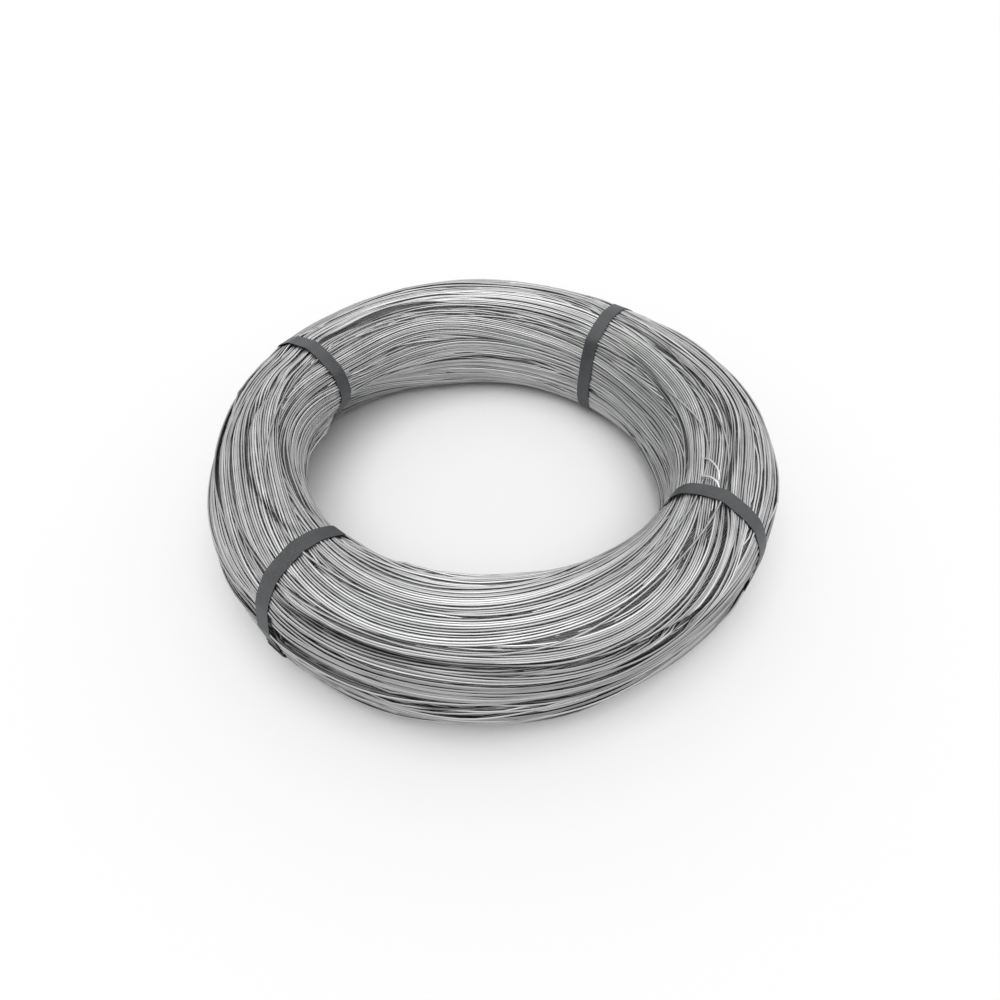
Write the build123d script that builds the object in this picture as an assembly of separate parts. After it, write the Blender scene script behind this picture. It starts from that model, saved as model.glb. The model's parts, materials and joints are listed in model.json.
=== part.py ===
from build123d import *
import os
from math import cos, radians, sin, sqrt

# A coil of galvanised steel wire that lies flat. Four steel straps go round the bundle of turns,
# and a crimped seal closes each strap, low on the outside of the coil.
# Lengths are in millimetres. Z is up, and the origin is on the floor, on the coil's axis.

# Coil, measured over its turns
BORE_DIAMETER = 375.0
BUNDLE_WIDTH = 105.0
BUNDLE_HEIGHT = 134.0
# how far the bundle's four edges are rounded, as shares of its width
FOOT_INNER_ROUND_SHARE = 0.34
FOOT_OUTER_ROUND_SHARE = 0.42
CROWN_INNER_ROUND_SHARE = 0.44
CROWN_OUTER_ROUND_SHARE = 0.48

# Courses: the ridges in which the turns show, from the foot of the bore wall round to its top
COURSE_DEPTH = 1.8
COURSE_WIDTH_SHARES = (
    5.6, 5.2, 6.0, 5.8, 6.6, 5.4, 7.0, 6.2, 6.8, 5.6, 7.2, 7.4, 6.6, 5.8, 6.8, 6.0
)

# Straps, each flat across its width, in a plane through the coil's axis
STRAP_WIDTH = 16.0
STRAP_THICKNESS = 0.5
STRAP_CLEARANCE = 0.2
FRONT_LEFT_ANGLE = 228.5
BACK_LEFT_ANGLE = 153.0
BACK_RIGHT_ANGLE = 52.0
FRONT_RIGHT_ANGLE = 329.5

# Lap of a strap's two ends at the outer foot of the bundle. Angles go down from the horizontal.
LAP_GAP = 0.1
LAP_RISE_LENGTH = 8.0
LAP_LEAD_ANGLE = 7.0
LAP_TAIL_ANGLE = 8.0

# Crimped seal round each lap
SEAL_THICKNESS = 0.8
SEAL_CLEARANCE = 0.1
SEAL_LIP = 4.5
SEAL_DROP_ANGLE = 31.0
SEAL_SPAN_ANGLE = 36.0
CRIMP_OFFSET_ANGLE = 8.0
CRIMP_SPAN_ANGLE = 5.0

# How far a cutting shape runs past what it cuts
OVERRUN = 2.0
OVERRUN_ANGLE = 4.0

# Worked out from the sizes above
BORE_RADIUS = BORE_DIAMETER / 2
OUTER_RADIUS = BORE_RADIUS + BUNDLE_WIDTH
FOOT_INNER_RADIUS = FOOT_INNER_ROUND_SHARE * BUNDLE_WIDTH
FOOT_OUTER_RADIUS = FOOT_OUTER_ROUND_SHARE * BUNDLE_WIDTH
CROWN_INNER_RADIUS = CROWN_INNER_ROUND_SHARE * BUNDLE_WIDTH
CROWN_OUTER_RADIUS = CROWN_OUTER_ROUND_SHARE * BUNDLE_WIDTH
COIL_FOOT = STRAP_THICKNESS + STRAP_CLEARANCE
COIL_CROWN = COIL_FOOT + BUNDLE_HEIGHT
# a flat strap meets the hollow bore wall with its two edges first
BORE_SAG = BORE_RADIUS - sqrt(BORE_RADIUS**2 - (STRAP_WIDTH / 2) ** 2)
SEAL_TOP_ANGLE = SEAL_DROP_ANGLE - SEAL_SPAN_ANGLE / 2
SEAL_END_ANGLE = SEAL_DROP_ANGLE + SEAL_SPAN_ANGLE / 2
# the strap bends tighter than the bundle at its lap, which leaves room behind it for the seal's lips
SLACK_SHARE = cos(radians(SEAL_TOP_ANGLE)) + sin(radians(SEAL_TOP_ANGLE)) - 1
LAP_SLACK = (SEAL_CLEARANCE + SEAL_THICKNESS) / SLACK_SHARE
LAP_RADIUS = FOOT_OUTER_RADIUS + STRAP_CLEARANCE - LAP_SLACK
LAP_CENTRE_X = OUTER_RADIUS + STRAP_CLEARANCE - LAP_RADIUS
LAP_CENTRE_Z = COIL_FOOT - STRAP_CLEARANCE + LAP_RADIUS
LAP_STEP = STRAP_THICKNESS + LAP_GAP


def bundle_outline():
    """Outline over the courses, open along the bore wall, from the wall's foot round to its top."""
    foot_inner = CenterArc(
        (BORE_RADIUS + FOOT_INNER_RADIUS, COIL_FOOT + FOOT_INNER_RADIUS), FOOT_INNER_RADIUS, 180, 90
    )
    foot_outer = CenterArc(
        (OUTER_RADIUS - FOOT_OUTER_RADIUS, COIL_FOOT + FOOT_OUTER_RADIUS), FOOT_OUTER_RADIUS, 270, 90
    )
    crown_outer = CenterArc(
        (OUTER_RADIUS - CROWN_OUTER_RADIUS, COIL_CROWN - CROWN_OUTER_RADIUS), CROWN_OUTER_RADIUS, 0, 90
    )
    crown_inner = CenterArc(
        (BORE_RADIUS + CROWN_INNER_RADIUS, COIL_CROWN - CROWN_INNER_RADIUS), CROWN_INNER_RADIUS, 90, 90
    )
    return Wire(
        [
            foot_inner,
            Line(foot_inner @ 1, foot_outer @ 0),
            foot_outer,
            Line(foot_outer @ 1, crown_outer @ 0),
            crown_outer,
            Line(crown_outer @ 1, crown_inner @ 0),
            crown_inner,
        ]
    )


def course_root(outline, share):
    """Point at the bottom of the groove between two courses."""
    tangent = outline % share
    return outline @ share + Vector(-tangent.Y, tangent.X) * COURSE_DEPTH


def wire_coil():
    """The wound bundle as one turned solid: a ridge for each course, and a straight bore wall."""
    outline = bundle_outline()
    total = sum(COURSE_WIDTH_SHARES)
    points = [outline @ 1, outline @ 0, course_root(outline, 0)]
    start = 0
    for width in COURSE_WIDTH_SHARES:
        end = start + width
        points.append(outline @ ((start + end) / 2 / total))
        points.append(course_root(outline, end / total))
        start = end
    return revolve(Plane.XZ * make_face(Polyline(points, close=True)), axis=Axis.Z)


def strap_side(rise):
    """One side of the strap in its plane, at a given rise over the side that faces the bundle."""
    gap = STRAP_CLEARANCE + rise
    left = BORE_RADIUS - BORE_SAG - gap
    right = OUTER_RADIUS + gap
    foot = COIL_FOOT - gap
    crown = COIL_CROWN + gap
    foot_radius = FOOT_INNER_RADIUS + gap
    inner_radius = CROWN_INNER_RADIUS + gap
    outer_radius = CROWN_OUTER_RADIUS + gap
    lap_radius = LAP_RADIUS + rise
    lap_centre = (LAP_CENTRE_X, LAP_CENTRE_Z)
    lead_angle = SEAL_TOP_ANGLE - LAP_LEAD_ANGLE
    tail_angle = SEAL_END_ANGLE + LAP_TAIL_ANGLE
    lead = CenterArc(lap_centre, lap_radius, -lead_angle, lead_angle - 90)
    foot_inner = CenterArc((left + foot_radius, foot + foot_radius), foot_radius, 270, -90)
    crown_inner = CenterArc((left + inner_radius, crown - inner_radius), inner_radius, 180, -90)
    crown_outer = CenterArc((right - outer_radius, crown - outer_radius), outer_radius, 90, -90)
    tail = CenterArc(lap_centre, lap_radius + LAP_STEP, 0, -tail_angle)
    climb = Line((right, LAP_CENTRE_Z + LAP_RISE_LENGTH), tail @ 0)
    return [
        lead,
        Line(lead @ 1, foot_inner @ 0),
        foot_inner,
        Line(foot_inner @ 1, crown_inner @ 0),
        crown_inner,
        Line(crown_inner @ 1, crown_outer @ 0),
        crown_outer,
        Line(crown_outer @ 1, climb @ 0),
        climb,
        tail,
    ]


def strap():
    """Flat band once round the bundle, whose outer end climbs over its inner end at the lap."""
    inside = strap_side(0)
    outside = strap_side(STRAP_THICKNESS)
    ends = [
        Line(inside[0] @ 0, outside[0] @ 0),
        Line(inside[-1] @ 1, outside[-1] @ 1),
    ]
    return extrude(Plane.XZ * make_face(inside + outside + ends), STRAP_WIDTH / 2, both=True)


def lap_sector(inner, outer, middle_angle, span_angle, width):
    """Block bent round the lap's centre, between two radii, and centred on the strap's plane."""
    centre = (LAP_CENTRE_X, LAP_CENTRE_Z)
    start = -middle_angle - span_angle / 2
    near = CenterArc(centre, inner, start, span_angle)
    far = CenterArc(centre, outer, start, span_angle)
    edges = [near, far, Line(near @ 0, far @ 0), Line(near @ 1, far @ 1)]
    return extrude(Plane.XZ * make_face(edges), width / 2, both=True)


def seal():
    """Sleeve folded round both layers of the lap, with lips behind and crimp notches in its edges."""
    inner = LAP_RADIUS - SEAL_CLEARANCE
    outer = LAP_RADIUS + LAP_STEP + STRAP_THICKNESS + SEAL_CLEARANCE
    room = STRAP_WIDTH + 2 * SEAL_CLEARANCE
    back = inner - SEAL_THICKNESS
    front = outer + SEAL_THICKNESS
    wide = room + 2 * SEAL_THICKNESS
    past_ends = SEAL_SPAN_ANGLE + OVERRUN_ANGLE
    sleeve = lap_sector(back, front, SEAL_DROP_ANGLE, SEAL_SPAN_ANGLE, wide)
    sleeve -= lap_sector(inner, outer, SEAL_DROP_ANGLE, past_ends, room)
    sleeve -= lap_sector(back - OVERRUN, outer, SEAL_DROP_ANGLE, past_ends, room - 2 * SEAL_LIP)
    for side in (-1, 1):
        angle = SEAL_DROP_ANGLE + side * CRIMP_OFFSET_ANGLE
        notch = lap_sector(inner, outer, angle, CRIMP_SPAN_ANGLE, wide + OVERRUN)
        sleeve -= notch
    return sleeve


strap_angles = {
    "front_left": FRONT_LEFT_ANGLE,
    "back_left": BACK_LEFT_ANGLE,
    "back_right": BACK_RIGHT_ANGLE,
    "front_right": FRONT_RIGHT_ANGLE,
}
os.makedirs("parts", exist_ok=True)
export_step(wire_coil(), "parts/wire_coil.step")
for place, angle in strap_angles.items():
    export_step(Rot(Z=angle) * strap(), f"parts/strap_{place}.step")
    export_step(Rot(Z=angle) * seal(), f"parts/seal_{place}.step")
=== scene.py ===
import json
import math

import bpy
import numpy as np
from bpy.props import FloatProperty, FloatVectorProperty, IntProperty, PointerProperty
from mathutils import Matrix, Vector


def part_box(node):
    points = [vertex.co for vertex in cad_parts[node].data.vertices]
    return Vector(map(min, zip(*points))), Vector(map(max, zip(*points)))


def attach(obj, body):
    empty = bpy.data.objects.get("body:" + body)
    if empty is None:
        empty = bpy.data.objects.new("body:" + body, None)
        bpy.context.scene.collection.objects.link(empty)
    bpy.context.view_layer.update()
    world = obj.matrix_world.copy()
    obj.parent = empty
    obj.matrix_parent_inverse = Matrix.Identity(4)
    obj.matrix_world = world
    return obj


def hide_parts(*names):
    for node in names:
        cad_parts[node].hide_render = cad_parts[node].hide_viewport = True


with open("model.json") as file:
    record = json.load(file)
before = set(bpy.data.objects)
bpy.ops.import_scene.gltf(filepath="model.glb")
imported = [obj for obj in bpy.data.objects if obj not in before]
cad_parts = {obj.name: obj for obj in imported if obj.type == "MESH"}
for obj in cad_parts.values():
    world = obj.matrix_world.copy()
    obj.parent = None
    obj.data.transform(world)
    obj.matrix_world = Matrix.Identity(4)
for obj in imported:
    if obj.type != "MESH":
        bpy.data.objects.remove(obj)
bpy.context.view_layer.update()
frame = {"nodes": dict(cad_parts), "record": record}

bl_info = {
    "name": "Strapped wire coil",
    "version": (1, 0, 0),
    "blender": (4, 5, 0),
    "location": "View3D > Sidebar > Wire Coil",
    "description": "Winds galvanised wire turn by turn round a ring and straps it",
    "category": "Object",
}

MM = 0.001
BODY = "root"
BAKE_MAP = "OFBake"
# share of its column in the bake map that a sweep fills
BAKE_SHARE = 0.9
STRAP_PLACES = ("front_left", "back_left", "back_right", "front_right")
# how far each strap has slid round the bundle, how far it is turned off the coil's radius, and how far
# below the level its seal faces, in degrees
STRAP_LIES = ((0, 2, 31), (-1, -6, 31), (0, 1, 31), (0.5, -6, 44))

# The ring that the turns follow, read from the frame, in millimetres
COIL_LOW, COIL_HIGH = (np.array(corner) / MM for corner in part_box("wire_coil"))
EYE = next(mount for mount in frame["record"]["mounts"] if mount["name"] == "coil_eye")
BORE_RADIUS = EYE["dims"]["r_mm"]
OUTER_RADIUS = COIL_HIGH[0]
FOOT = COIL_LOW[2]
CROWN = COIL_HIGH[2]
MIDDLE_RADIUS = (BORE_RADIUS + OUTER_RADIUS) / 2
# rounding of the bundle's edges as shares of its width: foot inside and outside, crown outside and inside
ROUND_SHARES = (0.34, 0.42, 0.48, 0.44)

# Grid that the turns are laid on: rows round the coil, columns round its section
AROUND = 192
ACROSS = 804
TUBE_SIDES = 5
TURNS_PER_PIECE = 100
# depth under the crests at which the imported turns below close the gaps, in millimetres, and the columns of
# the grid from one line of their surface to the next
UNDER_CREST = 4.2
PACKED_COLUMNS = 6

# Ribbons of neighbouring turns on top of the bundle, from the lowest to the topmost: the number of turns,
# and the ribbon's middle in millimetres round the section at every thirtieth degree of azimuth
RIBBONS = (
    (12, (170, 176, 170, 160, 150, 150, 150, 155, 160, 168, 170, 172)),
    (15, (222, 226, 220, 210, 205, 205, 206, 202, 186, 185, 183, 214)),
    (12, (396, 398, 394, 389, 386, 382, 352, 350, 336, 333, 348, 368)),
    (12, (372, 376, 372, 362, 360, 352, 325, 322, 307, 305, 318, 340)),
    (15, (262, 272, 262, 250, 240, 240, 238, 236, 208, 206, 205, 255)),
    (13, (342, 352, 345, 330, 318, 318, 300, 297, 281, 279, 300, 325)),
    (14, (286, 296, 283, 272, 262, 262, 258, 256, 232, 230, 236, 281)),
    (13, (310, 310, 304, 295, 283, 281, 283, 283, 256, 253, 271, 303)),
)
# How the bundle strays from the ring at every thirtieth degree of azimuth, in millimetres: outward on its
# outer side, into the bore on its inner side, and up and outward at its toe, which is the foot of the bore
STRAY_OUTER = (3, -1, -6, 4, 3, 0, -7, -1, 0, -1, -7, -1)
STRAY_BORE = (-1, 2, 0, 0, 0, 2, -4, -7, -4, 1, -3, -5)
STRAY_TOE = (3, 3, 3, 8, 20, 46, 28, 4, 0, 0, 0, 2)
# toe's place round the section, and how far its tuck spreads from there, in millimetres
TOE_PLACE = 18
TOE_SPREAD = 38
# Grooves between ribbons: depth, and along each groove azimuth in degrees with place round the section, in
# millimetres
GROOVES = (
    (6.5, ((230, 223), (250, 221), (270, 221), (288, 213), (308, 209))),
    (5.0, ((170, 277), (185, 269), (202, 268), (216, 273), (226, 279))),
    (5.0, ((60, 312), (80, 310), (94, 306), (108, 300), (121, 293), (141, 287), (152, 285))),
    (5.0, ((70, 376), (102, 376), (128, 374), (150, 366))),
    (4.0, ((232, 164), (246, 159), (266, 170), (290, 172))),
    (4.5, ((332, 274), (349, 268), (360, 272), (374, 282), (398, 293))),
    (4.0, ((170, 306), (182, 302), (202, 307), (220, 308))),
    (4.5, ((338, 317), (358, 321), (378, 322), (398, 316))),
)
# a groove's half width in millimetres, and the degrees over which its ends fade
GROOVE_HALF_WIDTH = 3
GROOVE_FADE = 9
# Loose turns that cross the others on top: azimuth in degrees and place round the section, once round
LOOSE_TURNS = (
    ((0, 285), (50, 285), (90, 270), (150, 262), (200, 247), (228, 235), (262, 231), (276, 233), (285, 238),
     (292, 248), (298, 256), (304, 261), (313, 266), (322, 268), (340, 272)),
    ((0, 301), (8, 314), (30, 322), (60, 324), (100, 316), (150, 300), (190, 291), (228, 268), (268, 262),
     (300, 280), (330, 293), (352, 295)),
)
# Tail of the last turn, wrapped twice round a few turns beside the front right strap: azimuth in degrees,
# place round the section and height over the crests in millimetres
WIRE_TAIL = (
    (343.5, 300, -5), (342.5, 297, -1), (341, 292, 1.8), (339.3, 287, 2.6), (337.3, 282, 2.2),
    (335.3, 279, 0), (334.6, 280, -4), (334.8, 288, -5), (335.4, 295, -4), (335.3, 296, -0.5),
    (334.8, 291, 1.8), (334.3, 285, 2.2), (333.3, 279, 1.2), (332.3, 275, -2), (331.8, 272, -5),
)

# Random wanders round the coil, as waves per round and their typical sizes: in millimetres across a turn, a
# band and a ribbon and down into the pile, and in tone along a turn
TURN_WANDER = ((2, 3, 5, 8), (0.3, 0.25, 0.12, 0.05))
BAND_WANDER = ((1, 2, 3, 4, 5, 7), (5, 3.5, 2, 1, 0.5, 0.2))
RIBBON_WANDER = ((2, 3, 4, 5), (0.8, 0.6, 0.5, 0.4))
DEPTH_WANDER = ((2, 3, 5, 8), (0.35, 0.3, 0.12, 0.05))
TONE_WANDER = ((3, 5, 8, 13, 21), (0.05, 0.05, 0.05, 0.06, 0.06))
# turns in a band, at least the first number and fewer than the second, and the ways tried for each band, of
# which the lowest is taken
BAND_SIZES = (7, 17)
BAND_TRIES = 4
# share of the ribbons' common drift round the section that the turns below follow
DRIFT_SHARE = 0.8
# how deep a turn may lie in a hollow, as shares of the set depth, from the least to the most
HOLLOW_SHARES = (0.35, 1.65)

# Tone of the zinc: the span over the turns, the painted shade on the outside towards its foot, the painted
# shade that a millimetre of groove takes, the painted shade at a wire's sides, the imported turns' tone, set
# dark as painted shade in the gaps, and the tail's tone
TURN_TONES = (0.5, 1.35)
FOOT_SHADE = 0.45
GROOVE_SHADE = 0.12
SIDE_SHADE = 0.5
PACKED_SHADED_TONE = 0.36
TAIL_TONE = 1.3
# the painted shade on the outside grows over this height down from the crown, and from this radius outward
# over this width, in millimetres
SHADE_HEIGHT = 65
SHADE_RADIUS = MIDDLE_RADIUS + 15
SHADE_WIDTH = 20

# Lengths at a strap, in millimetres: half the length held level, how far the tops of the turns lie under the
# ring's outline there, and the room left for the strap under the bundle
HELD_HALF = 9
HELD_SINK = 0.5
STRAP_CLEARANCE = 0.2
# A strap's loop: its steps, the gap between its lap's layers, and the lap's steps below and above its seal
LOOP_STEPS = 260
LAP_GAP = 0.1
LAP_BELOW = 7
LAP_ABOVE = 6
# the curl of a strap's free end: its steps, and how far its tip stands off the bundle
CURL_STEPS = 9
CURL_HEIGHT = 5
# Edges sharper than these angles, in degrees, stay crisp on a strap and on a seal
STRAP_CREASE = 35
SEAL_CREASE = 50

# Camera as fitted to the photograph: distance in metres, from the coil's mean radius, tilt and roll in
# radians, sensor in millimetres, and lens and shift as shares of the sensor
CAMERA_DISTANCE = 3.329 * MIDDLE_RADIUS * MM
CAMERA_TILT = 0.8182
CAMERA_ROLL = 0.0061
SENSOR = 36
LENS_SHARE = 0.688
CAMERA_SHIFT = (0.0096, -0.0007)
# Studio: half the floor's side in metres, the room's light, and the lamp's strength, with its spread and tilt
FLOOR_HALF = 6.0
ROOM_LIGHT = 0.56
LAMP_STRENGTH = 1.6
LAMP_SPREAD = math.radians(60)
LAMP_TILT = math.radians(14)


def srgb(code):
    """Linear colour of an sRGB hex code."""
    channels = np.array([int(code[i : i + 2], 16) for i in (1, 3, 5)]) / 255
    linear = np.where(channels <= 0.04045, channels / 12.92, ((channels + 0.055) / 1.055) ** 2.4)
    return tuple(linear)


def strap_angle(place):
    """Azimuth of a strap's plane, from the middle of its CAD mesh."""
    mesh = frame["nodes"][f"strap_{place}"].data
    flat = np.empty(len(mesh.vertices) * 3)
    mesh.vertices.foreach_get("co", flat)
    middle = flat.reshape(-1, 3).mean(axis=0)
    return math.atan2(middle[1], middle[0])


STRAP_ANGLES = [strap_angle(place) for place in STRAP_PLACES]


class CoilSettings(bpy.types.PropertyGroup):
    """Sizes and colours of the wire, the straps and the studio."""

    wire_diameter: FloatProperty(
        name="Wire diameter", description="Diameter of the zinc-coated wire", default=2.2 * MM, unit="LENGTH"
    )
    band_turns: IntProperty(
        name="Band turns", description="Turns laid in bands between the ground layer and the ribbons",
        default=150,
    )
    lay_pitch: FloatProperty(
        name="Lay pitch", description="Distance between neighbouring turns", default=2.25 * MM, unit="LENGTH"
    )
    swell: FloatProperty(
        name="Swell", description="How far the bundle stands off the ring between straps", default=0.6 * MM,
        unit="LENGTH",
    )
    hollow: FloatProperty(
        name="Hollow", description="Depth of a turn's top under the crests around it, at most",
        default=1.4 * MM, unit="LENGTH",
    )
    grip: FloatProperty(
        name="Grip", description="Length over which a strap pinches the bundle", default=26 * MM,
        unit="LENGTH",
    )
    seed: IntProperty(name="Seed", description="Start of the random lay", default=7)
    zinc: FloatVectorProperty(
        name="Zinc", description="Colour of the bright zinc coat", default=srgb("#CACBCA"), size=3,
        subtype="COLOR",
    )
    strap_width: FloatProperty(
        name="Strap width", description="Width of the steel strapping", default=16 * MM, unit="LENGTH"
    )
    strap_thickness: FloatProperty(
        name="Strap thickness", description="Thickness of the strapping", default=0.5 * MM, unit="LENGTH"
    )
    lacquer: FloatVectorProperty(
        name="Strap lacquer", description="Colour of the straps' lacquer", default=srgb("#3D3F41"), size=3,
        subtype="COLOR",
    )
    seal_length: FloatProperty(
        name="Seal length", description="Length of a crimped seal", default=28 * MM, unit="LENGTH"
    )
    # the seals' near-black is partly their black lacquer and partly painted shade under the bundle
    seal_black: FloatVectorProperty(
        name="Seal black", description="Colour of the seals' lacquer", default=srgb("#131314"), size=3,
        subtype="COLOR",
    )
    floor: FloatVectorProperty(
        name="Floor", description="Colour of the studio floor", default=srgb("#FAFAFA"), size=3,
        subtype="COLOR",
    )


def settings():
    """The coil's settings in the open scene."""
    return bpy.context.scene.wire_coil


def section_outline():
    """Outline of the bundle's section by arc length, from the foot of the bore wall round the outside.

    Quarter arcs at the four edges are joined by straight lines. Returns the length, and points and outward
    normals in the plane of radius and height, at ACROSS equal steps.
    """
    width = OUTER_RADIUS - BORE_RADIUS
    corners = (
        (BORE_RADIUS, FOOT, 1, 1),
        (OUTER_RADIUS, FOOT, -1, 1),
        (OUTER_RADIUS, CROWN, -1, -1),
        (BORE_RADIUS, CROWN, 1, -1),
    )
    arcs = []
    for share, (r, z, toward_r, toward_z), start in zip(ROUND_SHARES, corners, (180, 270, 0, 90)):
        radius = share * width
        turn = np.radians(np.linspace(start, start + 90, 60))
        arc_r = r + radius * (toward_r + np.cos(turn))
        arc_z = z + radius * (toward_z + np.sin(turn))
        arcs.append(np.stack([arc_r, arc_z], axis=-1))
    length, place = even_steps(np.concatenate(arcs), ACROSS)
    return length, place, outward_of(place)


def even_steps(ring, count):
    """Length of a closed line, and its points at equal steps of arc length."""
    closed = np.concatenate([ring, ring[:1]])
    length = np.concatenate([[0], np.cumsum(np.linalg.norm(np.diff(closed, axis=0), axis=1))])
    steps = np.arange(count) * length[-1] / count
    return length[-1], np.stack([np.interp(steps, length, closed[:, i]) for i in (0, 1)], axis=-1)


def outward_of(ring):
    """Outward unit normals of a closed line that runs anticlockwise."""
    along = np.roll(ring, -1, axis=0) - np.roll(ring, 1, axis=0)
    along /= np.linalg.norm(along, axis=1, keepdims=True)
    return np.stack([along[:, 1], -along[:, 0]], axis=-1)


PERIMETER, OUTLINE, OUTWARD = section_outline()
STEP = PERIMETER / ACROSS


def apart(azimuth, angle):
    """Size of the angle between azimuths, the short way round."""
    return np.abs((azimuth - angle + np.pi) % (2 * np.pi) - np.pi)


def azimuth_steps():
    """Azimuths of the grid's rows, closer together at the straps, where the wires bend most."""
    fine = np.linspace(0, 2 * np.pi, 7201)
    spread = math.radians(9)
    extra = 1.2
    near = sum(np.exp(-((apart(fine, angle) / spread) ** 2)) for angle in STRAP_ANGLES)
    density = 1 + extra * near
    count = np.concatenate([[0], np.cumsum((density[1:] + density[:-1]) / 2)])
    return np.interp(np.arange(AROUND) * count[-1] / AROUND, count, fine)


AZIMUTH = azimuth_steps()


def round_the_coil(values):
    """Smooth closed curve through values at equal steps of azimuth, as a sum of waves round the coil."""
    parts = np.fft.rfft(values) / len(values)
    orders = np.arange(len(parts))
    weight = np.where((orders == 0) | (2 * orders == len(values)), 1, 2)
    return (weight * (parts * np.exp(1j * orders * AZIMUTH[:, None])).real).sum(axis=1)


def wander(rng, orders, sizes):
    """Closed random wander round the coil: a sum of cosines of the given orders and typical sizes."""
    orders = np.asarray(orders)
    size = rng.normal(0, sizes)
    phase = rng.uniform(0, 2 * np.pi, len(orders))
    return (size[:, None] * np.cos(orders[:, None] * AZIMUTH + phase[:, None])).sum(axis=0)


def running_mean(values, reach, axis=0):
    """Plain average over a number of steps either way, round a closed axis."""
    return np.mean([np.roll(values, k, axis=axis) for k in range(-reach, reach + 1)], axis=0)


def bell_mean(values, reach, spread):
    """Average round a closed line, with weights that fall off as a bell over a spread of steps."""
    steps = range(-reach, reach + 1)
    weights = np.exp(-((np.array(steps) / spread) ** 2))
    return sum(w * np.roll(values, k, axis=0) for k, w in zip(steps, weights)) / weights.sum()


def settle(height):
    """Stiff wire over bumps: the greatest height nearby, smoothed along the wire, never below the bump."""
    raised = np.max([np.roll(height, k) for k in range(-2, 3)], axis=0)
    return np.maximum(bell_mean(raised, 5, 2.4), height)


def lay_wire(pile, place, height=None):
    """Lays one wire on the pile along its places round the section, and returns the height of its centre.

    A wire with no set height comes to rest where its round underside first meets the pile. The pile then
    has its round top.
    """
    radius = settings().wire_diameter / MM / 2
    reach = int(radius / STEP)
    offset = np.arange(-reach, reach + 1)
    arc = np.sqrt(radius**2 - (offset * STEP) ** 2)
    rows = np.arange(AROUND)[:, None]
    columns = (np.rint(place / STEP).astype(int)[:, None] + offset) % ACROSS
    under = pile[rows, columns]
    if height is None:
        height = settle((under + arc).max(axis=1))
    pile[rows, columns] = np.maximum(under, height[:, None] + arc)
    return height


def ground_ways(rng, pitch, drift):
    """Ways of a closed ground layer: turns side by side all round the section, which sway together.

    The sway is a sum of waves round the coil and round the section, smaller the more there are to a round.
    """
    count = int(PERIMETER / pitch)
    start = np.arange(count)[:, None] * PERIMETER / count
    sway = 0
    for order in range(1, 6):
        size = rng.normal(0, 3.0 / order)
        across_order = int(rng.integers(1, 4))
        phase = rng.uniform(0, 2 * np.pi)
        sway = sway + size * np.cos(order * AZIMUTH + across_order * 2 * np.pi * start / PERIMETER + phase)
    return start + drift + sway


def lay_turns():
    """Lays a closed ground layer, then bands where the pile is lowest, then ribbons and loose turns.

    Returns the pile's height over the bundle's middle, and each turn's place round the section and height.
    """
    own = settings()
    rng = np.random.default_rng(own.seed)
    pitch = own.lay_pitch / MM
    pile = np.zeros((AROUND, ACROSS))
    places, heights = [], []
    rows = np.arange(AROUND)[:, None]
    starts = np.arange(0, ACROSS, 4)
    ribbon_ways = [round_the_coil(way) for count, way in RIBBONS]
    drift = DRIFT_SHARE * np.mean([way - way.mean() for way in ribbon_ways], axis=0)

    def lay_band(count, way):
        """Lays neighbours a pitch apart along a way, each with a small wander of its own."""
        for k in range(count):
            place = way + (k - (count - 1) / 2) * pitch + wander(rng, *TURN_WANDER)
            heights.append(lay_wire(pile, place))
            places.append(place)

    def lowest_way():
        """Mean level along a random way, started where that is lowest, and the way itself.

        A little noise in the level lets near-equal starts take turns.
        """
        way = drift + wander(rng, *BAND_WANDER)
        columns = (np.rint(way / STEP).astype(int)[:, None] + starts) % ACROSS
        level = smooth_across(pile, 5)[rows, columns].mean(axis=0) + rng.normal(0, 0.1, len(starts))
        return level.min(), starts[level.argmin()] * STEP + way

    for way in ground_ways(rng, pitch, drift):
        lay_band(1, way)
    laid = 0
    while laid < own.band_turns:
        count = min(int(rng.integers(*BAND_SIZES)), own.band_turns - laid)
        lay_band(count, min((lowest_way() for _ in range(BAND_TRIES)), key=lambda found: found[0])[1])
        laid += count
    for (count, _), way in zip(RIBBONS, ribbon_ways):
        lay_band(count, way + wander(rng, *RIBBON_WANDER))
    for way in LOOSE_TURNS:
        azimuth, place = np.array(way).T
        line = np.interp(np.degrees(AZIMUTH), azimuth, place, period=360)
        lay_band(1, running_mean(line, 4))
    return pile, np.array(places), np.array(heights)


def across(field, place):
    """Value of a field over azimuth and section at each wire's places, straight between the grid's steps."""
    column = place / STEP
    low = np.floor(column).astype(int)
    part = column - low
    rows = np.arange(AROUND)
    return field[rows, low % ACROSS] * (1 - part) + field[rows, (low + 1) % ACROSS] * part


def smooth_across(values, reach):
    """Running average round the section over a reach in millimetres either way."""
    return running_mean(values, max(int(reach / STEP), 1), axis=-1)


def bundle_stray():
    """How far the bundle's two sides stray off the ring's outline, over azimuth and section."""
    outer = round_the_coil(STRAY_OUTER)[:, None] * np.clip(OUTWARD[:, 0], 0, 1)
    return outer + round_the_coil(STRAY_BORE)[:, None] * np.clip(-OUTWARD[:, 0], 0, 1)


def toe_tuck():
    """How far the bundle's toe lies up and outward of the ring's, over azimuth and section."""
    place = np.arange(ACROSS) * STEP
    from_toe = np.abs((place - TOE_PLACE + PERIMETER / 2) % PERIMETER - PERIMETER / 2)
    return round_the_coil(STRAY_TOE)[:, None] * np.exp(-((from_toe / TOE_SPREAD) ** 2))


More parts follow.
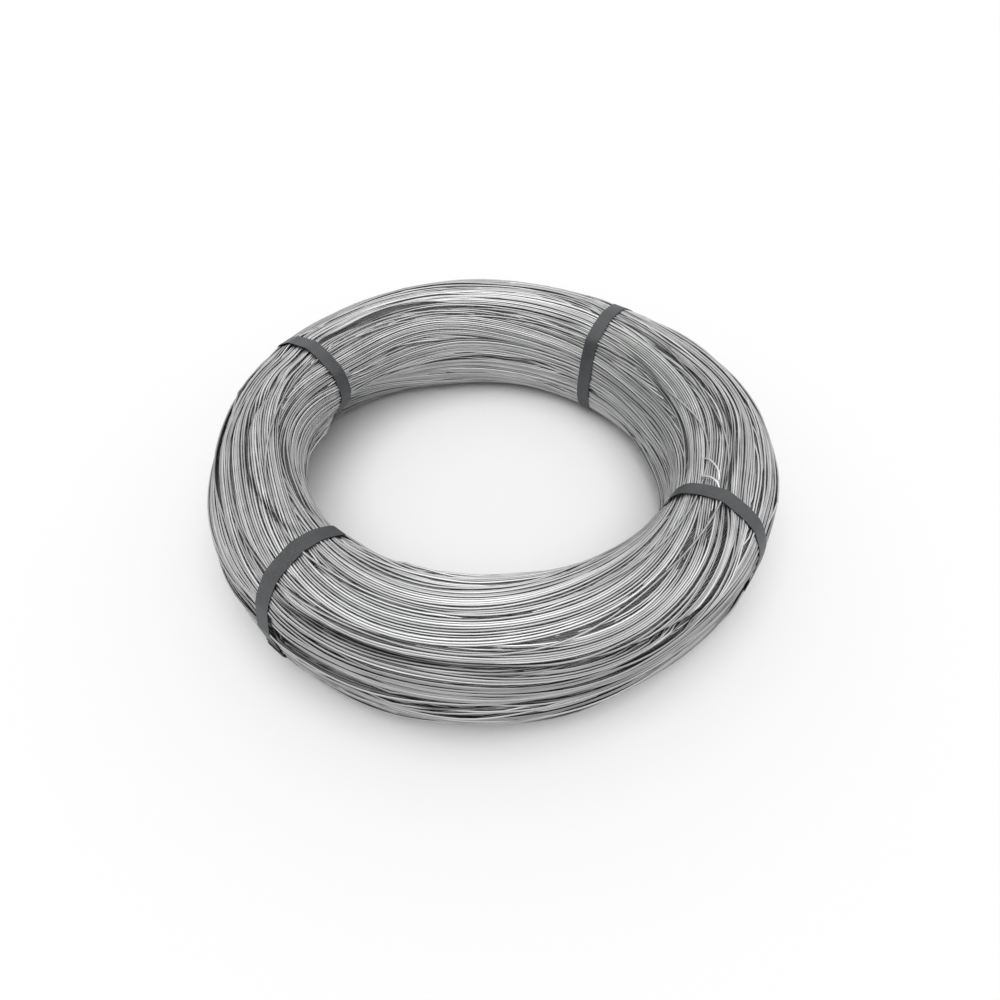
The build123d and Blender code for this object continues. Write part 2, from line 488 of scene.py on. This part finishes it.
def groove_depth():
    """Depth of the grooves between ribbons, over azimuth and section: a bell-shaped dip along each line."""
    place = np.arange(ACROSS) * STEP
    field = np.zeros((AROUND, ACROSS))
    for depth, way in GROOVES:
        azimuth, at = np.array(way, float).T
        row = np.degrees(AZIMUTH)
        # rows well before the groove's start are a round further on
        row = np.where(row < azimuth[0] - 20, row + 360, row)
        inside = np.minimum(row - azimuth[0], azimuth[-1] - row)
        fade = np.clip(inside / GROOVE_FADE + 0.5, 0, 1)
        line = np.interp(row, azimuth, at)
        dip = np.exp(-(((place - line[:, None]) / GROOVE_HALF_WIDTH) ** 2))
        field += depth * fade[:, None] * dip
    return field


def crest_level(pile):
    """Smooth level of the pile's crests, over azimuth and section: the highest nearby, then averaged."""
    columns = 16
    rows = 10
    width = 12
    crest = np.max([np.roll(pile, k, axis=1) for k in range(-columns, columns + 1, 2)], axis=0)
    return smooth_across(running_mean(crest, rows), width)


def fill_hollows(pile, level, places, heights):
    """Heights of the turns with hollows filled: a turn open to view lies at most about the set depth down.

    The depth differs from turn to turn and sways along each, so that the turns stay distinct.
    """
    own = settings()
    rng = np.random.default_rng(own.seed + 2)
    top = heights + own.wire_diameter / MM / 2
    covered = np.clip(across(pile, places) - top, 0, 1)
    sway = [wander(rng, *DEPTH_WANDER) for _ in places]
    depth = own.hollow / MM * rng.uniform(*HOLLOW_SHARES, (len(places), 1)) + np.array(sway)
    rise = np.maximum(across(level, places) - depth - top, 0) * (1 - covered)
    return heights + running_mean(rise, 2, axis=1)


def bundle_lift(pile, level):
    """How far the bottom of the pile stands off the ring's outline, over azimuth and section.

    At a strap the pile's tops come level, just under the strap. Between straps the bundle swells.
    """
    own = settings()
    grip = own.grip / MM / MIDDLE_RADIUS
    held = HELD_HALF / MIDDLE_RADIUS
    stray = bundle_stray()
    free = own.swell / MM + stray - level - groove_depth()
    gripped = np.zeros_like(pile)
    total = np.zeros((AROUND, 1))
    for angle in STRAP_ANGLES:
        distance = apart(AZIMUTH, angle)
        near = distance < held + 2 * np.pi / AROUND
        top = pile[near].max(axis=0)
        weight = np.exp(-((np.maximum(distance - held, 0) / grip) ** 2))[:, None]
        gripped += weight * (stray - smooth_across(top, 9) - HELD_SINK)
        total += weight
    return gripped / np.maximum(total, 1) + (1 - np.minimum(total, 1)) * free


def in_space(place, offset, lowest):
    """Points, in millimetres, and outward directions of places round the section, offset from the outline.

    No point is lower than the given height, where the bundle lies on the floor.
    """
    column = (place / STEP) % ACROSS
    steps = np.arange(ACROSS + 1)
    r, z = (np.interp(column, steps, np.append(OUTLINE[:, i], OUTLINE[0, i])) for i in (0, 1))
    out_r, out_z = (np.interp(column, steps, np.append(OUTWARD[:, i], OUTWARD[0, i])) for i in (0, 1))
    tuck = across(toe_tuck(), place) * math.sqrt(0.5)
    radius = r + offset * out_r + tuck
    height = np.maximum(z + offset * out_z + tuck, lowest)
    c, s = np.cos(AZIMUTH), np.sin(AZIMUTH)
    points = np.stack([radius * c, radius * s, height], axis=-1)
    outward = np.stack([out_r * c, out_r * s, out_z], axis=-1)
    return points, outward


def tail_path(cover):
    """Points and outward directions of the wrapped tail, over the crests.

    Straight lines between its places are smoothed by a running average as long as the step between places.
    """
    fine = 15
    count = len(WIRE_TAIL)
    steps = np.linspace(0, count - 1, fine * count)
    line = np.stack([np.interp(steps, np.arange(count), part) for part in np.array(WIRE_TAIL).T])
    padded = np.pad(line, ((0, 0), (fine // 2, fine // 2)), mode="edge")
    azimuth, place, height = np.mean([padded[:, k : k + len(steps)] for k in range(fine)], axis=0)
    row = np.interp(np.radians(azimuth), AZIMUTH, np.arange(AROUND))
    low = row.astype(int)
    column = np.rint(place / STEP).astype(int)
    under = cover[low, column] * (1 - row + low) + cover[low + 1, column] * (row - low)
    r, z = OUTLINE[column].T
    out_r, out_z = OUTWARD[column].T
    c, s = np.cos(np.radians(azimuth)), np.sin(np.radians(azimuth))
    outward = np.stack([out_r * c, out_r * s, out_z], axis=-1)
    return np.stack([r * c, r * s, z], axis=-1) + (under + height)[:, None] * outward, outward


def tube_rings(points, outward, radius):
    """Round profile carried along closed paths: rings of TUBE_SIDES corners about each path point."""
    along = np.roll(points, -1, axis=1) - np.roll(points, 1, axis=1)
    along /= np.linalg.norm(along, axis=-1, keepdims=True)
    side = np.cross(along, outward)
    side /= np.linalg.norm(side, axis=-1, keepdims=True)
    up = np.cross(side, along)
    turn = np.arange(TUBE_SIDES) * 2 * np.pi / TUBE_SIDES
    ring = np.cos(turn)[:, None] * up[:, :, None, :] + np.sin(turn)[:, None] * side[:, :, None, :]
    return points[:, :, None, :] + radius * ring


def sweep_piece(name, rings, closed, material, node, tone=None, crease=None):
    """Mesh piece from rings of corners (sweep, station, corner, xyz) in millimetres.

    Each station's ring is joined to the next, and the last to the first where the sweep is closed, else each
    end gets one flat face. Every sweep has its own column of the bake map. Faces are turned outward by their
    volume. Edges sharper than the crease, in degrees, stay crisp.
    """
    sweeps, stations, corners = rings.shape[:3]
    index = np.arange(sweeps * stations * corners).reshape(sweeps, stations, corners)
    spans = stations if closed else stations - 1
    here = index[:, :spans]
    there = np.roll(index, -1, axis=1)[:, :spans]
    quads = np.stack([here, there, np.roll(there, -1, axis=2), np.roll(here, -1, axis=2)], axis=-1)
    points = rings.reshape(-1, 3) * MM
    a, b, c, d = (points[quads[..., k]] for k in range(4))
    volume = (np.cross(c - a, d - b) * (a + b + c + d)).sum()
    column = (np.arange(sweeps) + (1 - BAKE_SHARE) / 2)[:, None, None, None] / sweeps
    side = (np.arange(corners)[:, None] + np.array([0, 0, 1, 1])) / corners * BAKE_SHARE / sweeps
    span = (np.arange(spans)[:, None] + np.array([0, 1, 1, 0])) / spans
    shape = quads.shape
    flat_map = np.stack(
        [np.broadcast_to(column + side, shape), np.broadcast_to(span[:, None, :], shape)], axis=-1
    )
    if volume < 0:
        quads, flat_map = quads[..., ::-1], flat_map[..., ::-1, :]
    loops, starts = quads.reshape(-1), np.arange(0, quads.size, 4)
    flat_map = flat_map.reshape(-1, 2)
    if not closed:
        ends = np.concatenate([index[:, 0, ::-1], index[:, -1]])
        ends = ends[:, ::-1] if volume < 0 else ends
        starts = np.concatenate([starts, quads.size + np.arange(0, ends.size, corners)])
        loops = np.concatenate([loops, ends.reshape(-1)])
        turn = np.arange(corners) * 2 * np.pi / corners
        # each end is a small disc in the middle of the bake map
        disc = 0.02 * np.stack([np.cos(turn), np.sin(turn)], axis=-1) + 0.5
        flat_map = np.concatenate([flat_map, np.tile(disc, (len(ends), 1))])
    mesh = bpy.data.meshes.new(name)
    mesh.vertices.add(len(points))
    mesh.vertices.foreach_set("co", points.astype(np.float32).ravel())
    mesh.loops.add(len(loops))
    mesh.loops.foreach_set("vertex_index", loops.astype(np.int32))
    mesh.polygons.add(len(starts))
    mesh.polygons.foreach_set("loop_start", starts.astype(np.int32))
    mesh.polygons.foreach_set("use_smooth", np.ones(len(starts), bool))
    mesh.update(calc_edges=True)
    mesh.uv_layers.new(name=BAKE_MAP).data.foreach_set("uv", flat_map.astype(np.float32).ravel())
    if tone is not None:
        per_corner = np.broadcast_to(tone, rings.shape[:3]).astype(np.float32)
        mesh.attributes.new("tone", "FLOAT", "POINT").data.foreach_set("value", per_corner.ravel())
    if mesh.validate():
        raise RuntimeError(f"{name} has faults in its faces")
    if crease:
        mesh.set_sharp_from_angle(angle=math.radians(crease))
    mesh.materials.append(material)
    piece = bpy.data.objects.new(name, mesh)
    bpy.context.scene.collection.objects.link(piece)
    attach(piece, BODY)
    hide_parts(node)


def add_node(tree, kind, inputs=None, **properties):
    """Adds a shader node with its properties. Each input gets a link from a socket, or else a set value."""
    node = tree.nodes.new(kind)
    for name, value in properties.items():
        setattr(node, name, value)
    for name, value in (inputs or {}).items():
        if isinstance(value, bpy.types.NodeSocket):
            tree.links.new(value, node.inputs[name])
        else:
            node.inputs[name].default_value = value
    return node


def new_material(name):
    """Empty node material, with its tree and its output."""
    material = bpy.data.materials.new(name)
    material.use_nodes = True
    tree = material.node_tree
    tree.nodes.clear()
    return material, tree, tree.nodes.new("ShaderNodeOutputMaterial")


def wire_material(name, packed=False):
    """Galvanised drawn steel wire: bright zinc, dulled unevenly, each turn a little lighter or darker.

    Packed turns are round ridges across the section, which the bake map's first part runs round.
    """
    own = settings()
    material, tree, output = new_material(name)
    tone = add_node(tree, "ShaderNodeAttribute", attribute_name="tone")
    place = add_node(tree, "ShaderNodeTexCoord")
    # faint dull patches about 12 mm long
    patch = add_node(
        tree, "ShaderNodeTexNoise",
        {"Vector": place.outputs["Object"], "Scale": 1 / (12 * MM), "Detail": 4.0},
    )
    level = add_node(
        tree, "ShaderNodeMath", {0: patch.outputs["Fac"], 1: 0.4, 2: tone.outputs["Fac"]},
        operation="MULTIPLY_ADD",
    )
    rough = add_node(
        tree, "ShaderNodeMapRange",
        {"Value": patch.outputs["Fac"], "From Min": 0.3, "From Max": 0.7, "To Min": 0.38, "To Max": 0.56},
    )
    shader = add_node(
        tree, "ShaderNodeBsdfPrincipled", {"Roughness": rough.outputs[0], "Metallic": 1.0}
    )
    if packed:
        # one ridge to each lay pitch, with painted shade in the grooves between them
        waves = round(PERIMETER * MM / own.lay_pitch) / BAKE_SHARE
        bake = add_node(tree, "ShaderNodeUVMap", uv_map=BAKE_MAP)
        section = add_node(tree, "ShaderNodeSeparateXYZ", {0: bake.outputs[0]})
        phase = add_node(
            tree, "ShaderNodeMath", {0: section.outputs[0], 1: 2 * math.pi * waves}, operation="MULTIPLY"
        )
        ridge = add_node(tree, "ShaderNodeMath", {0: phase.outputs[0]}, operation="SINE")
        level = add_node(
            tree, "ShaderNodeMath", {0: ridge.outputs[0], 1: 0.4, 2: level.outputs[0]},
            operation="MULTIPLY_ADD",
        )
        bump = add_node(
            tree, "ShaderNodeBump",
            {"Height": ridge.outputs[0], "Strength": 1.0, "Distance": own.lay_pitch / 4},
        )
        tree.links.new(bump.outputs[0], shader.inputs["Normal"])
    shade = add_node(
        tree, "ShaderNodeMapRange",
        {"Value": level.outputs[0], "From Min": -0.3, "From Max": 1.6, "To Min": 0.11, "To Max": 1.22},
    )
    zinc = add_node(
        tree, "ShaderNodeMix", {0: 1.0, 6: (*own.zinc, 1), 7: shade.outputs[0]},
        data_type="RGBA", blend_type="MULTIPLY",
    )
    tree.links.new(zinc.outputs[2], shader.inputs["Base Color"])
    tree.links.new(shader.outputs[0], output.inputs[0])
    return material


def strap_material(name, colour, sheen):
    """Lacquered cold-rolled strapping: dark grey, a low sheen, uneven in tone, scuffed in fine specks."""
    material, tree, output = new_material(name)
    place = add_node(tree, "ShaderNodeTexCoord")
    # the lacquer's tone drifts over about 40 mm
    drift = add_node(
        tree, "ShaderNodeTexNoise",
        {"Vector": place.outputs["Object"], "Scale": 1 / (40 * MM), "Detail": 2.0},
    )
    shade = add_node(
        tree, "ShaderNodeMapRange",
        {"Value": drift.outputs["Fac"], "From Min": 0.3, "From Max": 0.7, "To Min": 0.7, "To Max": 1.3},
    )
    paint = add_node(
        tree, "ShaderNodeMix", {0: 1.0, 6: (*colour, 1), 7: shade.outputs[0]},
        data_type="RGBA", blend_type="MULTIPLY",
    )
    # scuffs about 2 mm long, where the steel's paler grey comes through
    scuff = add_node(
        tree, "ShaderNodeTexNoise",
        {"Vector": place.outputs["Object"], "Scale": 1 / (2 * MM), "Detail": 8.0},
    )
    bare = add_node(
        tree, "ShaderNodeMapRange",
        {"Value": scuff.outputs["Fac"], "From Min": 0.4, "From Max": 0.8, "To Min": 0.0, "To Max": 0.6},
    )
    scuffed = np.array(colour) * 2.2
    worn = add_node(
        tree, "ShaderNodeMix", {0: bare.outputs[0], 6: paint.outputs[2], 7: (*scuffed, 1)}, data_type="RGBA"
    )
    rough = add_node(
        tree, "ShaderNodeMapRange",
        {"Value": scuff.outputs["Fac"], "From Min": 0.3, "From Max": 0.7, "To Min": 0.38, "To Max": 0.6},
    )
    dent = add_node(
        tree, "ShaderNodeBump",
        {"Height": scuff.outputs["Fac"], "Strength": 0.25, "Distance": 0.1 * MM},
    )
    shader = add_node(
        tree, "ShaderNodeBsdfPrincipled",
        {
            "Base Color": worn.outputs[2],
            "Roughness": rough.outputs[0],
            "Normal": dent.outputs[0],
            "Specular IOR Level": sheen,
        },
    )
    tree.links.new(shader.outputs[0], output.inputs[0])
    return material


def wound_bundle():
    """All turns' points, outward directions and places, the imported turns' surface, and the crests' offset."""
    own = settings()
    pile, places, heights = lay_turns()
    level = crest_level(pile)
    heights = fill_hollows(pile, level, places, heights)
    for place, height in zip(places, heights):
        lay_wire(pile, place, height)
    lift = bundle_lift(pile, level)
    lowest = own.strap_thickness / MM + STRAP_CLEARANCE + own.wire_diameter / MM / 2
    points, outward = in_space(places, heights + across(lift, places), lowest)
    columns = np.arange(0, ACROSS, PACKED_COLUMNS) * STEP
    place = np.repeat(columns[:, None], AROUND, axis=1)
    deep, _ = in_space(place, across(lift + level, place) - UNDER_CREST, lowest)
    return points, outward, places, deep, lift + level


def wire_tones(points, places):
    """Tone of each wire's corners: its zinc's own tone, which drifts along it, with painted shade low on the
    outside.

    Painted shade takes more of it in the grooves between ribbons, and towards a wire's sides and underside.
    """
    rng = np.random.default_rng(settings().seed + 1)
    radius = np.hypot(points[..., 0], points[..., 1])
    low = np.clip((CROWN - points[..., 2]) / SHADE_HEIGHT, 0, 1)
    outside = np.clip((radius - SHADE_RADIUS) / SHADE_WIDTH, 0, 1)
    drift = np.array([wander(rng, *TONE_WANDER) for _ in points])
    # painted shade: the outside is darker low down, towards its foot
    along = rng.uniform(*TURN_TONES, (len(points), 1)) + drift - FOOT_SHADE * low * outside
    # painted shade: darker along the grooves between ribbons
    along -= GROOVE_SHADE * across(groove_depth(), places)
    # painted shade: each wire darker towards its sides and underside
    side_shade = 1 - np.cos(np.arange(TUBE_SIDES) * 2 * np.pi / TUBE_SIDES)
    return along[..., None] - SIDE_SHADE * side_shade


def strap_axes(angle, turn):
    """Middle of a strap on the bundle, and the level directions along its plane and across it."""
    middle = MIDDLE_RADIUS * np.array([math.cos(angle), math.sin(angle), 0])
    along = np.array([math.cos(angle + turn), math.sin(angle + turn), 0])
    return middle, along, np.array([-along[1], along[0], 0])


def taut_loop(points, axes):
    """Section of a taut strap: the convex outline of the wires under it, along its plane and in height.

    For each direction the outline's farthest wire gives a point, one wire radius and a little out. Wires just
    beside the strap count too.
    """
    own = settings()
    beside = 2
    standoff = 0.1
    directions = 720
    middle, along, wide = axes
    under = np.abs((points - middle) @ wide) < own.strap_width / MM / 2 + beside
    under &= (points - middle) @ along > -MIDDLE_RADIUS
    some = points[under]
    centres = np.stack([(some - middle) @ along, some[:, 2]], axis=-1)
    turn = np.linspace(0, 2 * np.pi, directions, endpoint=False)
    direction = np.stack([np.cos(turn), np.sin(turn)], axis=-1)
    farthest = centres[(centres @ direction.T).argmax(axis=0)]
    ring = farthest + direction * (own.wire_diameter / MM / 2 + standoff)
    length, ring = even_steps(ring, LOOP_STEPS)
    return length, bell_mean(ring, 4, 2.0)


def ribbon_rings(ring, axes, profile):
    """Profile (width, thickness) carried along a line in a strap's plane: rings of corners in space."""
    middle, along, wide = axes
    normal = outward_of(ring)
    up = np.array([0, 0, 1])
    centre = middle + ring[:, :1] * along + ring[:, 1:] * up
    out = normal[:, :1] * along + normal[:, 1:] * up
    if profile.ndim == 2:
        profile = np.broadcast_to(profile, (len(ring), *profile.shape))
    return centre[:, None] + profile[..., 0:1] * wide + profile[..., 1:2] * out[:, None]


def strap_profile(width, low, high):
    """Cross-section of a strap, whose slit edges are broken by a share of its thickness."""
    half = width / 2
    edge = 0.12 * (high - low)
    return np.array([
        (-half, low + edge), (-half + edge, low), (half - edge, low), (half, low + edge),
        (half, high - edge), (half - edge, high), (-half + edge, high), (-half, high - edge),
    ])


def seal_profiles(stations):
    """Cross-sections of a crimped seal from end to end: a flat oval round both laps, nipped in at two crimps.

    The oval's width and thickness are powers of a circle's cosine and sine. A crimp is a bell along the seal,
    which takes from both.
    """
    corners = 20
    crimps = (-0.45, 0.45)
    crimp_spread = 0.16
    nip_width, nip_thickness = 1.3, 0.35
    side_power, face_power = 0.35, 0.5
    side_room = 0.9
    middle_height = 0.55
    half_thickness = 1.6
    along = np.linspace(-1, 1, stations)[:, None]
    nip = sum(np.exp(-(((along - crimp) / crimp_spread) ** 2)) for crimp in crimps)
    turn = np.arange(corners) * 2 * np.pi / corners
    wide = np.sign(np.cos(turn)) * np.abs(np.cos(turn)) ** side_power
    thick = np.sign(np.sin(turn)) * np.abs(np.sin(turn)) ** face_power
    half_width = settings().strap_width / MM / 2 + side_room
    across_strap = (half_width - nip_width * nip) * wide
    off_bundle = middle_height + (half_thickness - nip_thickness * nip) * thick
    return np.stack([across_strap, off_bundle], axis=-1)


def strap_runs():
    """Each strap's place, axes and taut loop, and its seal's middle and half length in steps of the loop.

    A seal sits where the loop faces outward and down.
    """
    own = settings()
    points = wound_bundle()[0]
    for place, angle, (slide, turn, drop) in zip(STRAP_PLACES, STRAP_ANGLES, np.radians(STRAP_LIES)):
        axes = strap_axes(angle + slide, turn)
        length, ring = taut_loop(points, axes)
        facing = outward_of(ring) @ np.array([math.cos(drop), -math.sin(drop)])
        reach = int(round(own.seal_length / MM / 2 / (length / len(ring))))
        yield place, axes, ring, int(facing.argmax()), reach


def lap_line(ring, at, reach):
    """Line of a strap's lapped end along its loop, past both ends of its seal.

    The free end, below the seal, curls off the bundle by the square of the way to its tip, and stays off the
    floor.
    """
    span = np.arange(at - reach - LAP_BELOW, at + reach + LAP_ABOVE)
    line = np.take(ring, span, axis=0, mode="wrap")
    outward = np.take(outward_of(ring), span[:CURL_STEPS], axis=0, mode="wrap")
    curl = CURL_HEIGHT * np.linspace(1, 0, CURL_STEPS) ** 2
    line[:CURL_STEPS] += curl[:, None] * outward
    line[:, 1] = np.maximum(line[:, 1], 3 * settings().strap_thickness / MM)
    return line


def lay_floor(scene):
    """Lays a plain white floor under the coil."""
    mesh = bpy.data.meshes.new("studio_floor")
    half = FLOOR_HALF
    corners = [(-half, -half, 0), (half, -half, 0), (half, half, 0), (-half, half, 0)]
    mesh.from_pydata(corners, [], [(0, 1, 2, 3)])
    floor = bpy.data.objects.new("studio_floor", mesh)
    scene.collection.objects.link(floor)
    material, tree, output = new_material("matt_white_floor")
    shader = add_node(
        tree, "ShaderNodeBsdfPrincipled",
        {"Base Color": (*settings().floor, 1), "Roughness": 0.9, "Specular IOR Level": 0.1},
    )
    tree.links.new(shader.outputs[0], output.inputs[0])
    mesh.materials.append(material)


def light_studio(scene):
    """Lights the scene by a white room and one broad lamp overhead."""
    world = bpy.data.worlds.new("soft_studio")
    world.use_nodes = True
    tree = world.node_tree
    background = tree.nodes["Background"]
    background.inputs["Color"].default_value = (1, 1, 1, 1)
    # the camera, and what mirrors in the metal, see a white backdrop, and the room's own light is softer
    path = add_node(tree, "ShaderNodeLightPath")
    mirrored = add_node(
        tree, "ShaderNodeMath",
        {0: path.outputs["Is Glossy Ray"], 1: path.outputs["Is Transmission Ray"]}, operation="MAXIMUM",
    )
    seen = add_node(
        tree, "ShaderNodeMath",
        {0: path.outputs["Is Camera Ray"], 1: mirrored.outputs[0]}, operation="MAXIMUM",
    )
    strength = add_node(
        tree, "ShaderNodeMapRange", {"Value": seen.outputs[0], "To Min": ROOM_LIGHT, "To Max": 1.0}
    )
    tree.links.new(strength.outputs[0], background.inputs["Strength"])
    scene.world = world
    lamp = bpy.data.lights.new("soft_top", "SUN")
    lamp.angle = LAMP_SPREAD
    lamp.energy = LAMP_STRENGTH
    lamp_object = bpy.data.objects.new("soft_top", lamp)
    lamp_object.rotation_euler = (LAMP_TILT, 0, 0)
    scene.collection.objects.link(lamp_object)


def aim_camera(scene):
    """Sets the camera at the photograph's viewing angle, aimed at the middle of the floor under the coil."""
    camera = bpy.data.cameras.new("photo_camera")
    camera.sensor_width = SENSOR
    camera.lens = LENS_SHARE * SENSOR
    camera.shift_x, camera.shift_y = CAMERA_SHIFT
    camera_object = bpy.data.objects.new("photo_camera", camera)
    back = -CAMERA_DISTANCE * math.cos(CAMERA_TILT)
    camera_object.location = (0, back, CAMERA_DISTANCE * math.sin(CAMERA_TILT))
    turn = (-camera_object.location).to_track_quat("-Z", "Y")
    camera_object.rotation_mode = "QUATERNION"
    camera_object.rotation_quaternion = turn @ Matrix.Rotation(CAMERA_ROLL, 3, "Z").to_quaternion()
    scene.collection.objects.link(camera_object)
    scene.camera = camera_object


class WIRECOIL_OT_wind_turns(bpy.types.Operator):
    """Winds the turns of wire over the ring, pinched at the straps and loose between them."""

    bl_idname = "wire_coil.wind_turns"
    bl_label = "Wind the turns"

    def execute(self, context):
        points, outward, places, deep, _ = wound_bundle()
        material = wire_material("galvanised_drawn_steel_wire")
        packed = wire_material("packed_galvanised_wire", packed=True)
        tones = wire_tones(points, places)
        rings = tube_rings(points, outward, settings().wire_diameter / MM / 2)
        for number, start in enumerate(range(0, len(points), TURNS_PER_PIECE), 1):
            some = slice(start, start + TURNS_PER_PIECE)
            sweep_piece(
                f"wire_turns_{number}", rings[some], True, material, "wire_coil",
                tone=tones[some],
            )
        # the imported turns' dark tone is painted shade deep in the gaps
        sweep_piece(
            "wire_turns_deep", deep.transpose(1, 0, 2)[None], True, packed, "wire_coil",
            tone=np.array(PACKED_SHADED_TONE),
        )
        return {"FINISHED"}


class WIRECOIL_OT_wrap_tail(bpy.types.Operator):
    """Wraps the tail of the last turn twice round its neighbours, beside the front right strap."""

    bl_idname = "wire_coil.wrap_tail"
    bl_label = "Wrap the tail"

    def execute(self, context):
        points, outward = tail_path(wound_bundle()[4])
        rings = tube_rings(points[None], outward[None], settings().wire_diameter / MM / 2)[:, 1:-1]
        bright = wire_material("bright_zinc_wire")
        sweep_piece(
            "wrapped_wire_tail", rings, False, bright, "wire_coil",
            tone=np.array(TAIL_TONE),
        )
        return {"FINISHED"}


class WIRECOIL_OT_strap_bundle(bpy.types.Operator):
    """Pulls the four straps tight round the bundle and laps their ends."""

    bl_idname = "wire_coil.strap_bundle"
    bl_label = "Strap the bundle"

    def execute(self, context):
        own = settings()
        lacquer = strap_material("lacquered_steel_strapping", own.lacquer, 0.5)
        width, thick = own.strap_width / MM, own.strap_thickness / MM
        under = strap_profile(width, 0, thick)
        over = strap_profile(width, thick + LAP_GAP, 2 * thick + LAP_GAP)
        for place, axes, ring, at, reach in strap_runs():
            loop = ribbon_rings(ring, axes, under)
            sweep_piece(
                f"taut_strap_{place}", loop[None], True, lacquer, f"strap_{place}",
                crease=STRAP_CREASE,
            )
            lap = ribbon_rings(lap_line(ring, at, reach), axes, over)[1:-1]
            sweep_piece(
                f"strap_lap_{place}", lap[None], False, lacquer, f"strap_{place}",
                crease=STRAP_CREASE,
            )
        return {"FINISHED"}


class WIRECOIL_OT_crimp_seals(bpy.types.Operator):
    """Crimps a seal round the lap of each strap."""

    bl_idname = "wire_coil.crimp_seals"
    bl_label = "Crimp the seals"

    def execute(self, context):
        # near-black: the seal's lacquer, and painted shade where it sits low under the bundle
        black = strap_material("matt_black_seal_and_painted_shade", settings().seal_black, 0.15)
        for place, axes, ring, at, reach in strap_runs():
            run = np.take(ring, np.arange(at - reach - 1, at + reach + 2), axis=0, mode="wrap")
            sleeve = ribbon_rings(run, axes, seal_profiles(len(run)))[1:-1]
            sweep_piece(
                f"crimped_seal_{place}", sleeve[None], False, black, f"seal_{place}",
                crease=SEAL_CREASE,
            )
        return {"FINISHED"}


class WIRECOIL_OT_set_stage(bpy.types.Operator):
    """Sets the floor, the soft light and the camera at the photograph's viewing angle."""

    bl_idname = "wire_coil.set_stage"
    bl_label = "Set the stage"

    def execute(self, context):
        context.scene.view_settings.view_transform = "Standard"
        lay_floor(context.scene)
        light_studio(context.scene)
        aim_camera(context.scene)
        return {"FINISHED"}


OPERATORS = (
    WIRECOIL_OT_wind_turns,
    WIRECOIL_OT_wrap_tail,
    WIRECOIL_OT_strap_bundle,
    WIRECOIL_OT_crimp_seals,
    WIRECOIL_OT_set_stage,
)


class WIRECOIL_PT_panel(bpy.types.Panel):
    """Lists the steps that make the coil, with their settings."""

    bl_idname = "WIRECOIL_PT_panel"
    bl_label = "Wire Coil"
    bl_space_type = "VIEW_3D"
    bl_region_type = "UI"
    bl_category = "Wire Coil"

    def draw(self, context):
        for name in CoilSettings.__annotations__:
            self.layout.prop(context.scene.wire_coil, name)
        for operator in OPERATORS:
            self.layout.operator(operator.bl_idname)


CLASSES = (CoilSettings, *OPERATORS, WIRECOIL_PT_panel)


def register():
    """Registers the classes, and gives each scene the coil's settings."""
    for item in CLASSES:
        bpy.utils.register_class(item)
    bpy.types.Scene.wire_coil = PointerProperty(type=CoilSettings)


def unregister():
    """Takes the settings and the classes away again."""
    del bpy.types.Scene.wire_coil
    for item in reversed(CLASSES):
        bpy.utils.unregister_class(item)


def main():
    """Makes the coil and its stage."""
    register()
    bpy.ops.wire_coil.wind_turns()
    bpy.ops.wire_coil.wrap_tail()
    bpy.ops.wire_coil.strap_bundle()
    bpy.ops.wire_coil.crimp_seals()
    bpy.ops.wire_coil.set_stage()


if __name__ == "__main__":
    main()
